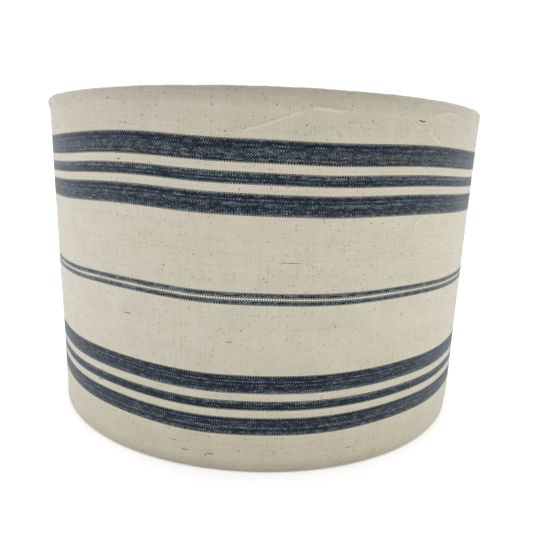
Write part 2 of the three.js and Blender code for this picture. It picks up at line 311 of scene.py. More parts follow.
# =====================================================================================
# The cloth's shape
# =====================================================================================
WAVE_C = [-60, -48, -36, -24, -12, 0, 12, 24, 36, 48, 60]
WAVE_A = [0.75, 0.24, 0.74, 0.3, -1.03, -0.69, -1.15, -0.51, 0.12, -0.49, 0.05]
WAVE_S = [-0.03, 0.83, 1.2, 1.55, 1.08, 0.48, 0.33, 0.36, 0.37, 0.56, -0.86]
for c in range(72, 289, 12):                 # round the back, the same kind of drift
    WAVE_C.append(c)
    WAVE_A.append(float(rng.normal(0, 0.5)))
    WAVE_S.append(float(rng.normal(0.2, 0.45)))


def wave(th, z):
    """How far the yarns at angle th (degrees, 0 at the front) and height z have drifted up, in mm."""
    out = np.zeros_like(th)
    s = (z / HEIGHT - 0.5) * 2
    out += (-0.45 * np.exp(-((th + 52) / 11.0) ** 2) - 0.35 * np.exp(-((th - 66) / 9.0) ** 2)) * (1 - s * s)
    for c, a, b in zip(WAVE_C, WAVE_A, WAVE_S):
        d = (th - c + 180) % 360 - 180
        out += np.exp(-(d / 11.0) ** 2) * (a + b * s)
    return out


def bulge(th, top):
    """How far the cloth over a ring stands out from the wall, in mm."""
    d = np.radians(th)
    if top:
        return 0.50 + 0.35 * np.exp(-((th + 70) / 40.0) ** 2) - 0.22 * np.exp(-((th - 66) / 35.0) ** 2) + 0.05 * np.sin(9 * d + 1)
    return 0.34 - 0.46 * np.exp(-((th - 66) / 24.0) ** 2) + 0.08 * np.sin(3 * d) + 0.03 * np.sin(11 * d)


PH = rng.uniform(0, 2 * math.pi, 14)


def wall(th, z):
    """Outside radius of the cloth wall in mm, without creases."""
    d = np.radians(th)
    top, low = HEIGHT - z, z
    r = WALL_R + bulge(th, True) * np.exp(-(np.maximum(RING_Z - z, 0) / 2.8) ** 2)
    r = r + 0.42 * np.exp(-((th - 67) / 20.0) ** 2) * np.clip((z - 4.0) / 6.0, 0, 1) * np.exp(-(z / 70.0) ** 2)
    r = r + bulge(th, False) * np.exp(-(np.maximum(z - (HEIGHT - RING_Z), 0) / 3.6) ** 2)
    free = np.clip(np.minimum(top, low) / 18.0, 0, 1)
    soft = (0.10 * np.sin(3 * d + PH[0] + z / 60) + 0.07 * np.sin(7 * d + PH[1] - z / 34) + 0.05 * np.sin(13 * d + PH[2] + z / 21)
            + 0.045 * np.sin(z / 11 + PH[3] + 4 * np.sin(2 * d + PH[4])) + 0.03 * np.sin(29 * d + PH[5]) * np.sin(z / 15 + PH[6]))
    return r + free * soft


# raised creases where the cloth didn't lie flat on the film: (points as degrees and mm, height, half width, mm)
CREASES = [
    ([(-6.8, 186.4), (-4.5, 187.2), (-2.5, 187.9), (-0.5, 189.0), (0.7, 190.1), (2.6, 192.3), (5.0, 194.6), (7.1, 196.2), (7.9, 196.7)], 0.30, 0.85),
    ([(8.3, 197.5), (9.4, 198.1), (11.6, 197.6), (13.5, 197.3), (16.0, 197.8)], 0.46, 0.80),
    ([(27.4, 197.8), (29.3, 195.9), (31.5, 193.3), (34.4, 191.4)], 0.28, 0.75),
    ([(34.4, 191.2), (36.2, 189.2), (38.0, 186.7), (39.5, 184.7)], 0.46, 0.70),
    ([(36.0, 198.6), (38.0, 199.4), (40.4, 200.6), (43.4, 201.6), (45.7, 201.2), (48.6, 199.0), (50.0, 197.0), (51.0, 194.5)], 0.34, 0.75),
    ([(33.5, 139.5), (34.2, 142.2), (35.9, 144.7), (39.2, 146.7)], 0.38, 0.65),
    ([(26.7, 188.3), (28.8, 184.8)], 0.22, 0.8),
    ([(-30.0, 189.2), (-28.1, 188.3), (-25.1, 187.1), (-23.0, 185.2)], 0.20, 0.9),
    ([(15.0, 190.5), (19.0, 191.5), (24.0, 190.0)], 0.17, 1.0),
    ([(17.5, 59.0), (17.7, 52.0)], 0.16, 0.45),
    ([(37.7, 43.5), (38.2, 40.0)], 0.30, 0.5),
    ([(-9.2, 87.0), (-9.2, 69.0)], 0.07, 0.5),
    ([(-46.0, 120.0), (-43.0, 117.5), (-39.0, 117.0)], 0.10, 0.9),
]
for _ in range(9):                           # a few more where the photograph can't see
    c, z0 = float(rng.uniform(85, 275)), float(rng.choice([rng.uniform(184, 199), rng.uniform(20, 190)], p=[0.6, 0.4]))
    n, a = int(rng.integers(3, 6)), float(rng.uniform(-0.6, 0.6))
    pts = [(c + 2.2 * i, z0 + a * 2.0 * i + float(rng.normal(0, 0.8))) for i in range(n)]
    CREASES.append((pts, float(rng.uniform(0.12, 0.34)), float(rng.uniform(0.7, 1.0))))


def smooth_line(pts):
    P = np.array(pts, float)
    t = np.linspace(0, 1, len(P)); tt = np.linspace(0, 1, 6 * len(P))
    if len(P) > 2:
        cx, cz = np.polyfit(t, P[:, 0], min(3, len(P) - 1)), np.polyfit(t, P[:, 1], min(3, len(P) - 1))
        return np.stack([np.polyval(cx, tt), np.polyval(cz, tt)], -1)
    return np.stack([np.interp(tt, t, P[:, 0]), np.interp(tt, t, P[:, 1])], -1)


CREASES = [(smooth_line(pts), h, w) for pts, h, w in CREASES]


def crease_lift(th, z):
    """Height of the creases in mm at arrays of angles and heights."""
    out = np.zeros_like(th)
    for Q, h, w in CREASES:
        q = np.stack([np.radians(Q[:, 0]) * WALL_R, Q[:, 1]], -1)
        lo, hi = Q[:, 0].min() - 3, Q[:, 0].max() + 3
        m = (th > lo) & (th < hi) & (z > q[:, 1].min() - 5) & (z < q[:, 1].max() + 5)
        if not m.any():
            continue
        X, Z = np.radians(th[m]) * WALL_R, z[m]
        best, share = np.full(X.shape, 1e9), np.zeros(X.shape)
        for i in range(len(q) - 1):
            a, b = q[i], q[i + 1]
            ab = b - a
            s = np.clip(((X - a[0]) * ab[0] + (Z - a[1]) * ab[1]) / (ab @ ab + 1e-9), 0, 1)
            d = np.hypot(X - a[0] - s * ab[0], Z - a[1] - s * ab[1])
            near = d < best
            best = np.where(near, d, best)
            share = np.where(near, (i + s) / (len(q) - 1), share)
        ends = np.clip(np.minimum(share, 1 - share) * 6, 0.25, 1)
        lift = h * ends * np.exp(-(best / w) ** 2)
        out[m] = np.maximum(out[m], lift)
    return out


def profile_rows():
    """Rows across the cloth from the bottom tuck to the top tuck: kind, parameter, arc coordinate v (equal to height on the wall)."""
    rows = []
    rollN = 24
    low = HEIGHT - RING_Z
    for i in range(rollN, 0, -1):            # bottom roll, angle from outward, going down and in
        rows.append(("low", -262.0 * i / rollN))
    z = low
    while z < 30: rows.append(("wall", z)); z += 1.1
    while z < 150: rows.append(("wall", z)); z += 1.35
    while z < RING_Z - 0.4: rows.append(("wall", z)); z += 0.8
    rows.append(("wall", RING_Z))
    for i in range(1, rollN + 1):
        rows.append(("top", 262.0 * i / rollN))
    return rows


def cloth_columns():
    """Places along the cloth in mm, finer at the front, from the covered edge to the lapped edge."""
    L = 2 * math.pi * WALL_R
    u, out = 0.0, []
    while u < L + LAP:
        out.append(u)
        th = math.degrees(u / WALL_R) - 180
        near_seam = u > L - 6 or u < 3
        u += 0.5 if near_seam else 0.8 if abs(th) < 74 else 1.8
    out += [L + LAP, L + LAP + 0.18, L + LAP + 0.30, L + LAP + 0.36]
    return np.array(out), L


def cloth_point(th, kind, val, off):
    """Points of the cloth's outside in mm: radius and height, for arrays of th and lap offset off."""
    low = HEIGHT - RING_Z
    if kind == "wall":
        z = np.full_like(th, val)
        r = wall(th, z) + 1.8 * crease_lift(th, z)
        return r + off, z
    top = kind == "top"
    b = bulge(th, top)
    a = math.radians(abs(val))
    out_r = WALL_R + b - RING_R
    f = math.cos(a) ** 2 if a < math.pi / 2 else 0.0
    rho = ROLL + (out_r - ROLL) * f + off
    # the tuck closes in towards the liner
    tuck = max(0.0, (abs(val) - 215) / 47.0)
    rho = rho - 0.35 * tuck
    if top:                                  # hand-rolled: the edge isn't perfectly even
        d = np.radians(th)
        rho = rho + math.sin(min(a, 2.6)) * (0.09 * np.sin(17 * d + PH[8]) * np.sin(5 * d + PH[9]) + 0.07 * np.sin(41 * d + PH[10]) * np.sin(3 * d + PH[11]) - 0.06
                                             + 0.035 * np.sin(97 * d + PH[12]) + 0.03 * np.sin(173 * d + PH[13])
                                             + 0.34 + 0.60 * np.exp(-((th + 72) / 24.0) ** 2))
    ripple = 0.05 * np.sin(np.radians(th) * 57 + PH[7]) * np.sin(a) if a > 1.0 else 0.0
    rho = rho + ripple * (0.6 if top else 0.2)
    r = RING_R + rho * math.cos(a)
    z = rho * math.sin(a)
    return (r, RING_Z + z) if top else (r, low - z)


def make_cloth():
    rows, (cols, L) = profile_rows(), cloth_columns()
    th = np.degrees(cols / WALL_R) - 180
    # the lapped end rides up over the covered end, then its folded edge rounds down onto it
    off = 0.62 * np.clip((cols - (L - 2.6)) / 2.6, 0, 1) ** 2 * (3 - 2 * np.clip((cols - (L - 2.6)) / 2.6, 0, 1))
    fold = np.clip((cols - (L + LAP)) / 0.36, 0, 1)
    off = off * np.sqrt(np.maximum(1 - fold ** 2, 0))
    nR, nC = len(rows), len(cols)
    P = np.zeros((nR, nC, 3)); UVs = np.zeros((nR, nC, 2)); arc = np.zeros((nR, nC, 2))
    R2, Z2 = np.zeros((nR, nC)), np.zeros((nR, nC)); lifts = np.zeros((nR, nC))
    low = HEIGHT - RING_Z
    for i, (kind, val) in enumerate(rows):
        if kind == "wall":
            lifts[i] = crease_lift(th, np.full_like(th, val))
        o = off if kind == "wall" or abs(val) < 200 else off * 0.6
        r, z = cloth_point(th, kind, val, o)
        R2[i], Z2[i] = r, z
    # keep the folded edge's width square to the wall
    ang = np.radians(th)
    P[..., 0] = R2 * np.sin(ang)[None]
    P[..., 1] = -R2 * np.cos(ang)[None]
    P[..., 2] = Z2
    for i, (kind, val) in enumerate(rows):
        if kind == "wall":
            v = Z2[i]
        elif kind == "top":
            v = RING_Z + math.radians(val) * ROLL + 0 * th
        else:
            v = low + math.radians(val) * ROLL + 0 * th
        zc = np.clip(v, 0, HEIGHT)
        UVs[i, :, 0] = cols
        arc[i, :, 0], arc[i, :, 1] = cols, v
        UVs[i, :, 1] = np.interp(v - wave(th, zc), ROW_V, ROW_N) * WEFT
    # bottom lap must not push the base down: flatten what goes below the resting plane
    P[..., 2] = np.maximum(P[..., 2], 0.0)
    idx = np.arange(nR * nC).reshape(nR, nC)
    quads = np.stack([idx[:-1, :-1], idx[:-1, 1:], idx[1:, 1:], idx[1:, :-1]], -1).reshape(-1, 4)
    # notches where the pivot lugs pass the tucked edge of the top roll
    rowi = np.repeat(np.arange(nR - 1), nC - 1); coli = np.tile(np.arange(nC - 1), nR - 1)
    is_in = np.array([kind == "top" and val > 118 for kind, val in rows])
    y = P[rowi, coli, 1]
    cut = is_in[rowi] & (np.abs(y) < 6.0)
    quads = quads[~cut]
    name = "striped_cloth_cover"
    me = bpy.data.meshes.new(name)
    me.vertices.add(nR * nC)
    me.vertices.foreach_set("co", (P.reshape(-1) * MM).astype(np.float32))
    me.loops.add(quads.size)
    me.loops.foreach_set("vertex_index", quads.reshape(-1).astype(np.int32))
    me.polygons.add(len(quads))
    me.polygons.foreach_set("loop_start", np.arange(0, quads.size, 4, dtype=np.int32))
    me.polygons.foreach_set("loop_total", np.full(len(quads), 4, dtype=np.int32))
    me.polygons.foreach_set("use_smooth", np.ones(len(quads), dtype=bool))
    me.update(calc_edges=True)
    at = me.attributes.new("crease", "FLOAT", "POINT")
    at.data.foreach_set("value", np.clip(lifts.reshape(-1) / 0.40, 0, 1).astype(np.float32))
    # how strongly the rim is tinted round the lampshade: duller cloth with no film behind it, plus painted shade, set
    # strongest at the front and back
    rim_dull_and_shade_round = 0.34 + 0.66 * np.exp(-(th / 34.0) ** 4) + 0.30 * np.exp(-((np.abs(th) - 150) / 38.0) ** 4) + 0.06 * np.sin(np.radians(th) * 9 + PH[4])
    ab = me.attributes.new("rim_dull_and_shade", "FLOAT", "POINT")
    ab.data.foreach_set("value", np.tile(np.clip(rim_dull_and_shade_round, 0, 1), nR).astype(np.float32))
    layer = me.uv_layers.new(name="thread")
    uvf = (UVs.reshape(-1, 2) * MM)[quads.reshape(-1)].astype(np.float32)
    layer.data.foreach_set("uv", uvf.reshape(-1))
    layer2 = me.uv_layers.new(name="height")
    layer2.data.foreach_set("uv", (arc.reshape(-1, 2) * MM)[quads.reshape(-1)].astype(np.float32).reshape(-1))
    me.validate()
    # loose vertices inside the notches
    bm = bmesh.new(); bm.from_mesh(me)
    bmesh.ops.delete(bm, geom=[v for v in bm.verts if not v.link_faces], context="VERTS")
    bm.to_mesh(me); bm.free()
    ob = bpy.data.objects.new(name, me)
    bpy.context.scene.collection.objects.link(ob)
    ob.data.materials.append(cloth_material())
    return ob


# =====================================================================================
# General mesh makers
# =====================================================================================
def mesh_object(name, verts, faces, smooth=True):
    me = bpy.data.meshes.new(name)
    me.from_pydata([tuple(v) for v in verts], [], faces)
    me.validate()
    bm = bmesh.new(); bm.from_mesh(me)
    bmesh.ops.recalc_face_normals(bm, faces=bm.faces)
    bm.to_mesh(me); bm.free()
    for p in me.polygons:
        p.use_smooth = smooth
    ob = bpy.data.objects.new(name, me)
    bpy.context.scene.collection.objects.link(ob)
    return ob


def lathe(name, profile, n=96, axis="Z", origin=(0, 0, 0), closed=True):
    """A solid of revolution in mm from (radius, height) points; a closed profile makes a ring, an open one starts and ends on the axis."""
    verts, faces = [], []
    m = len(profile)
    ring_ids = []
    for r, z in profile:
        if r < 1e-6:
            ring_ids.append([len(verts)] * n); verts.append((0, 0, z))
        else:
            ring_ids.append(list(range(len(verts), len(verts) + n)))
            verts += [(r * math.cos(2 * math.pi * i / n), r * math.sin(2 * math.pi * i / n), z) for i in range(n)]
    pairs = [(i, (i + 1) % m) for i in range(m if closed else m - 1)]
    for a, b in pairs:
        for i in range(n):
            j = (i + 1) % n
            f = [ring_ids[a][i], ring_ids[a][j], ring_ids[b][j], ring_ids[b][i]]
            f = [v for k2, v in enumerate(f) if v not in f[:k2]]
            if len(f) >= 3:
                faces.append(f)
    V = np.array(verts, float)
    if axis == "X":
        V = V[:, [2, 0, 1]]
    V = (V + np.array(origin)) * MM
    return mesh_object(name, V, faces)


def rounded(points, radius=0.3, steps=3):
    """A closed profile with its corners rounded."""
    out, n = [], len(points)
    for i in range(n):
        p0, p1, p2 = (np.array(points[(i + k) % n], float) for k in (-1, 0, 1))
        a, b = p0 - p1, p2 - p1
        la, lb = np.hypot(*a), np.hypot(*b)
        r = min(radius, la * 0.45, lb * 0.45)
        s, e = p1 + a / la * r, p1 + b / lb * r
        for k in range(steps + 1):
            t = k / steps
            out.append(tuple((1 - t) ** 2 * s + 2 * t * (1 - t) * p1 + t * t * e))
    return out


def join(obs, name):
    for o in bpy.context.selected_objects:
        o.select_set(False)
    for o in obs:
        o.select_set(True)
    bpy.context.view_layer.objects.active = obs[0]
    bpy.ops.object.join()
    ob = bpy.context.view_layer.objects.active
    ob.name = name
    ob.data.name = name
    ob.select_set(False)
    return ob


# =====================================================================================
# Other materials
# =====================================================================================
def film_material():
    """White lampshade film, seen inside: satin, with faint painted shade where the dark stripes lie behind it."""
    k = Nodes("liner_film")
    P = k.coords("Object")
    sep = k.new("ShaderNodeSeparateXYZ"); k.put(sep.inputs[0], P)
    z = k.mul(sep.outputs[2], 1000.0)
    drift = k.mul(k.sub(k.noise(P, 9.0, 2.0), 0.5), 4.0)
    zz = k.add(z, drift)
    # painted shade: faint bands where the dark stripes lie behind the film
    shade = None
    for lo, hi in STRIPES:
        e = k.m("MULTIPLY", k.step(zz, lo - 0.6, lo + 0.6), k.step(zz, hi + 0.6, hi - 0.6))
        shade = e if shade is None else k.m("MAXIMUM", shade, e)
    base = k.ramp(k.noise(P, 22.0, 4.0, 0.6), [(0.3, lin(228, 225, 216)), (0.7, lin(238, 236, 229))])
    col = k.mix(k.mul(shade, 0.15), base, (*lin(120, 132, 148), 1))
    # yellowed a little where glue shows at the edges
    edge = k.m("MAXIMUM", k.step(z, 12, 4), k.step(z, HEIGHT - 12, HEIGHT - 4))
    col = k.mix(k.mul(edge, 0.25), col, (*lin(206, 196, 172), 1))
    k.put(k.p.inputs["Base Color"], col)
    k.put(k.p.inputs["Roughness"], k.lin(k.noise(P, 60.0, 3.0), 0.3, 0.7, 0.36, 0.52))
    # the weave prints through the film
    w = k.new("ShaderNodeTexWave", wave_type="BANDS", bands_direction="Z")
    k.put(w.inputs["Vector"], P); w.inputs["Scale"].default_value = 240.0; w.inputs["Distortion"].default_value = 1.5
    h = k.add(k.mul(w.outputs[1], 0.25), k.noise(P, 110.0, 3.0, 0.6))
    k.put(k.p.inputs["Normal"], k.bump(h, 0.18, 0.0004))
    return k.mat


def coated_material():
    """White powder coat on wire and plate: fine orange peel, slightly greyer in places."""
    k = Nodes("powder_coat")
    P = k.coords("Object")
    col = k.ramp(k.noise(P, 60.0, 4.0, 0.6), [(0.3, lin(222, 221, 215)), (0.7, lin(236, 235, 231))])
    col = k.mix(k.mul(k.step(k.noise(P, 190.0, 2.0), 0.68, 0.76), 0.35), col, (*lin(150, 148, 142), 1))
    k.put(k.p.inputs["Base Color"], col)
    k.put(k.p.inputs["Roughness"], k.lin(k.noise(P, 300.0, 2.0), 0.3, 0.7, 0.30, 0.46))
    k.put(k.p.inputs["Normal"], k.bump(k.noise(P, 900.0, 2.0, 0.5), 0.22, 0.0002))
    return k.mat


def steel_material():
    """Zinc-plated rivet steel with fine turning marks."""
    k = Nodes("zinc_steel")
    P = k.coords("Object")
    sep = k.new("ShaderNodeSeparateXYZ"); k.put(sep.inputs[0], P)
    col = k.ramp(k.noise(P, 500.0, 3.0, 0.6), [(0.3, lin(150, 150, 146)), (0.7, lin(196, 195, 190))])
    k.put(k.p.inputs["Base Color"], col)
    k.p.inputs["Metallic"].default_value = 1.0
    y, z = k.mul(sep.outputs[1], 1000.0), k.sub(k.mul(sep.outputs[2], 1000.0), PIVOT_Z)
    rad = k.m("SQRT", k.add(k.mul(y, y), k.mul(z, z)))
    k.put(k.p.inputs["Roughness"], k.lin(k.noise(P, 420.0, 2.0), 0.3, 0.7, 0.28, 0.45))
    turn = k.m("SINE", k.mul(rad, 26.0))
    k.put(k.p.inputs["Normal"], k.bump(k.add(k.mul(turn, 0.3), k.noise(P, 1500.0, 2.0)), 0.2, 0.0001))
    return k.mat


def plastic_material():
    """White moulded plastic: soft gloss, faint flow marks."""
    k = Nodes("moulded_plastic")
    P = k.coords("Object")
    col = k.ramp(k.noise(P, 45.0, 3.0, 0.6), [(0.3, lin(232, 232, 227)), (0.7, lin(242, 241, 238))])
    k.put(k.p.inputs["Base Color"], col)
    k.put(k.p.inputs["Roughness"], k.lin(k.noise(P, 220.0, 2.0), 0.3, 0.7, 0.27, 0.38))
    k.put(k.p.inputs["Normal"], k.bump(k.noise(P, 700.0, 3.0), 0.12, 0.0002))
    return k.mat


def tape_material():
    k = Nodes("ring_tape")
    P = k.coords("Object")
    col = k.ramp(k.noise(P, 80.0, 4.0, 0.6), [(0.3, lin(204, 194, 166)), (0.7, lin(224, 217, 196))])
    k.put(k.p.inputs["Base Color"], col)
    k.put(k.p.inputs["Roughness"], k.lin(k.noise(P, 150.0, 2.0), 0.3, 0.7, 0.30, 0.5))
    k.put(k.p.inputs["Normal"], k.bump(k.noise(P, 400.0, 3.0), 0.3, 0.0002))
    return k.mat


def nep_material(name, pale):
    """Seed specks and fibre knots caught in the yarn: brown, or nearly black where pale is 0, matt."""
    k = Nodes(name)
    P = k.coords("Object")
    n = k.add(k.noise(P, 260.0, 1.0), 0.30 * pale - 0.30)
    col = k.ramp(n, [(0.20, lin(20, 18, 20)), (0.34, lin(36, 30, 28)), (0.45, lin(68, 54, 44)), (0.55, lin(104, 88, 69)), (0.66, lin(136, 126, 108))])
    k.put(k.p.inputs["Base Color"], col)
    k.put(k.p.inputs["Roughness"], k.lin(k.noise(P, 800.0, 2.0), 0.3, 0.7, 0.8, 0.95))
    k.p.inputs["Specular IOR Level"].default_value = 0.15
    k.put(k.p.inputs["Normal"], k.bump(k.noise(P, 3000.0, 2.0), 0.4, 0.0001))
    return k.mat


def yarn_material():
    k = Nodes("stray_blue_yarn")
    P = k.coords("Object")
    col = k.ramp(k.noise(P, 900.0, 2.0), [(0.35, lin(20, 27, 48)), (0.65, lin(58, 70, 92))])
    k.put(k.p.inputs["Base Color"], col)
    k.put(k.p.inputs["Roughness"], k.lin(k.noise(P, 600.0, 2.0), 0.3, 0.7, 0.8, 0.95))
    w = k.new("ShaderNodeTexWave", wave_type="BANDS", bands_direction="DIAGONAL")
    k.put(w.inputs["Vector"], P); w.inputs["Scale"].default_value = 900.0
    k.put(k.p.inputs["Normal"], k.bump(w.outputs[1], 0.5, 0.0001))
    return k.mat


# =====================================================================================
# Build the pieces
# =====================================================================================
def surface(th, z, lift=0.0):
    """A point on the cloth wall in mm, and its outward direction."""
    t = np.array([th], float); zz = np.array([z], float)
    r = float(wall(t, zz)[0]) + 1.8 * float(crease_lift(t, zz)[0]) + lift
    a = math.radians(th)
    return np.array([r * math.sin(a), -r * math.cos(a), z]), np.array([math.sin(a), -math.cos(a), 0.0])


def make_neps():
    """Raised seed specks and knots: several hundred small flattened grains lying in the weave, on the plain ground and a few on the stripes."""
    verts, faces, shades = [], [], []

    def grain(th, z, length, width, tilt, high, dark=False):
        c, n = surface(th, z)
        a = math.radians(th)
        ex, ez = np.array([math.cos(a), math.sin(a), 0.0]), np.array([0, 0, 1.0])
        d1 = ex * math.cos(tilt) + ez * math.sin(tilt)
        d2 = -ex * math.sin(tilt) + ez * math.cos(tilt)
        base = len(verts)
        K = 8
        jit = rng.uniform(0.78, 1.22, K)
        for lev, (s, h) in enumerate(((1.0, -0.06), (0.86, 0.45), (0.45, 0.9))):
            for i in range(K):
                p = 2 * math.pi * i / K
                verts.append(c + d1 * (math.cos(p) * length / 2 * s * jit[i]) + d2 * (math.sin(p) * width / 2 * s * jit[i]) + n * (h * high))
        verts.append(c + n * high)
        for lev in range(2):
            for i in range(K):
                j = (i + 1) % K
                faces.append([base + lev * K + i, base + lev * K + j, base + (lev + 1) * K + j, base + (lev + 1) * K + i])
        for i in range(K):
            faces.append([base + 2 * K + i, base + 2 * K + (i + 1) % K, base + 3 * K])
        faces.append([base + i for i in range(K)][::-1])
        shades.extend([1 if dark else 0] * (3 * K + 1))

    # the few that stand out
    for th, z, l, w in ((-32.8, 201.9, 1.1, 0.8), (-28.5, 189.5, 0.9, 0.6), (-7.3, 186.1, 0.9, 0.7), (22.2, 142.7, 1.0, 0.55), (2.0, 199.0, 0.8, 0.6),
                        (-3.5, 13.5, 1.0, 0.6), (-10.8, 9.0, 1.1, 0.7), (15.5, 12.5, 1.0, 0.35), (45.0, 18.0, 1.0, 0.6), (-30.5, 171.5, 1.1, 1.0)):
        grain(th, z, l, w, float(rng.uniform(-0.9, 0.9)), 0.12, dark=True)
    # dark grains strung along one yarn
    chains = [(3.2, 7.9, 122.0, 8)] + [(c, c + float(rng.uniform(1.2, 3.4)), float(rng.uniform(6, HEIGHT - 8)), int(rng.integers(4, 7))) for c in rng.uniform(-180, 176, 34)]
    for t0, t1, z, n in chains:
        if any(lo - 1 < z < hi + 1 for lo, hi in STRIPES):
            continue
        for i in range(n):
            f = (i + 0.5) / n
            grain(t0 + (t1 - t0) * f, z + float(rng.normal(0, 0.12)), float(rng.uniform(1.0, 2.4)) * (1.25 - abs(2 * f - 1)), float(rng.uniform(0.30, 0.55)), float(rng.normal(0, 0.08)), 0.05)
            if i == n // 2:
                grain(t0 + (t1 - t0) * f, z, 0.9, 0.62, 0.0, 0.09, dark=True)
    count = 0
    while count < 900:
        th, z = float(rng.uniform(-180, 180)), float(rng.uniform(1.5, HEIGHT - 3.5))
        on_stripe = any(lo - 0.5 < z - float(wave(np.array([th]), np.array([z]))[0]) < hi + 0.5 for lo, hi in STRIPES)
        if on_stripe and rng.random() < 0.9:
            continue
        size = float(rng.lognormal(-0.98, 0.42))
        size = min(max(size, 0.22), 1.15)
        grain(th, z, size * float(rng.uniform(1.0, 1.7)), size * float(rng.uniform(0.55, 0.9)), float(rng.uniform(-1.6, 1.6)), 0.07, dark=rng.random() < 0.07)
        count += 1
        if rng.random() < 0.16:              # they come in small clusters
            for _ in range(int(rng.integers(1, 4))):
                s2 = size * float(rng.uniform(0.4, 0.8))
                grain(th + float(rng.normal(0, 0.9)), min(max(z + float(rng.normal(0, 1.6)), 1.5), HEIGHT - 3.5), s2 * 1.3, s2 * 0.8, float(rng.uniform(-1.6, 1.6)), 0.05)
    ob = mesh_object("seed_specks", np.array(verts) * MM, faces)
    ob.data.materials.append(nep_material("seed_grain", 1.0))
    ob.data.materials.append(nep_material("seed_grain_dark", 0.0))
    ob.data.polygons.foreach_set("material_index", shades)
    return ob


def tube(points, radius, n=10, name="tube", taper=False, closed=False):
    """A round tube through points in mm, its ends closed flat."""
    P = np.array(points, float)
    verts, faces = [], []
    T = np.gradient(P, axis=0); T /= np.linalg.norm(T, axis=1)[:, None]
    up = np.array([0.0, 1.0, 0.0]) if abs(T[0][1]) < 0.9 else np.array([1.0, 0, 0])
    rings = []
    for i, (p, t) in enumerate(zip(P, T)):
        a = np.cross(up, t); a /= np.linalg.norm(a); b = np.cross(t, a)
        up = b if i else b
        r = radius[i] if hasattr(radius, "__len__") else radius
        rings.append([len(verts) + k2 for k2 in range(n)])
        for k2 in range(n):
            w = 2 * math.pi * k2 / n
            verts.append(p + a * r * math.cos(w) + b * r * math.sin(w))
    for i in range(len(rings) - 1):
        for k2 in range(n):
            j = (k2 + 1) % n
            faces.append([rings[i][k2], rings[i][j], rings[i + 1][j], rings[i + 1][k2]])
    faces.append(rings[0][::-1]); faces.append(rings[-1])
    return mesh_object(name, np.array(verts) * MM, faces)


def make_stray_yarn():
    pts, rad = [], []
    for i in range(13):
        s = i / 12
        th = 32.0 + 2.0 * s
        c, n = surface(th, 195.9 - 0.55 * s + 0.12 * math.sin(s * 9), 0.10 - 0.28 * abs(2 * s - 1) ** 6)
        pts.append(c); rad.append(0.27 * (1 - 0.65 * abs(2 * s - 1) ** 5))
    ob = tube(pts, rad, 8, "stray_blue_yarn")
    ob.data.materials.append(yarn_material())
    return ob


def make_liner():
    """The film: a thin tube with its free end lapped 10 mm inside at the back."""
    low = HEIGHT - RING_Z
    L = 2 * math.pi * LINER_IN
    n, rows = 360, 44
    us = np.concatenate([np.linspace(0, L, n), [L + 0.9, L + 4, L + 7, L + LAP - 0.1, L + LAP]])
    zs = np.concatenate([[low - 0.6, low + 1.5, low + 3.5, low + 6], np.linspace(low + 10, RING_Z - 10, rows), [RING_Z - 6, RING_Z - 3.5, RING_Z - 1.5, RING_Z + 0.6]])
    th = us / LINER_IN + math.pi
    inn = np.clip((us - (L - 2)) / 2.6, 0, 1)
    inn = 0.34 * inn * inn * (3 - 2 * inn)
    verts = []
    thick = 0.3
    for side in (0, 1):
        for z in zs:
            up = z > HEIGHT / 2
            near = max(RING_Z - z if up else z - low, 0.0)
            deg = (np.degrees(th) + 180) % 360 - 180
            fl = (bulge(deg, up) - 0.14) * math.exp(-(near / 2.8) ** 2)
            for t, i_, f in zip(th, inn, fl):
                r = LINER_IN + f - i_ + (thick if side else 0.0)
                verts.append((r * math.sin(t), -r * math.cos(t), z))
    nC, nR = len(us), len(zs)
    idx = lambda s, r, c: s * nR * nC + r * nC + c
    faces = []
    for r in range(nR - 1):
        for c in range(nC - 1):
            faces.append([idx(0, r, c), idx(0, r, c + 1), idx(0, r + 1, c + 1), idx(0, r + 1, c)])
            faces.append([idx(1, r, c), idx(1, r + 1, c), idx(1, r + 1, c + 1), idx(1, r, c + 1)])
    for c in range(nC - 1):
        faces.append([idx(0, 0, c), idx(1, 0, c), idx(1, 0, c + 1), idx(0, 0, c + 1)])
        faces.append([idx(0, nR - 1, c), idx(0, nR - 1, c + 1), idx(1, nR - 1, c + 1), idx(1, nR - 1, c)])
    for r in range(nR - 1):
        faces.append([idx(0, r, 0), idx(0, r + 1, 0), idx(1, r + 1, 0), idx(1, r, 0)])
        faces.append([idx(0, r, nC - 1), idx(1, r, nC - 1), idx(1, r + 1, nC - 1), idx(0, r + 1, nC - 1)])
    ob = mesh_object("liner_film_panel", np.array(verts) * MM, faces)
    ob.data.materials.append(film_material())
    return ob


def make_ring(name, zc):
    prof = [(RING_R + WIRE_R * math.cos(2 * math.pi * i / 16), zc + WIRE_R * math.sin(2 * math.pi * i / 16)) for i in range(16)]
    ob = lathe(name, prof, 160)
    ob.data.materials.append(coated)
    return ob


def side_of(node):
    return 1 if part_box(node)[0][0] > 0 else -1


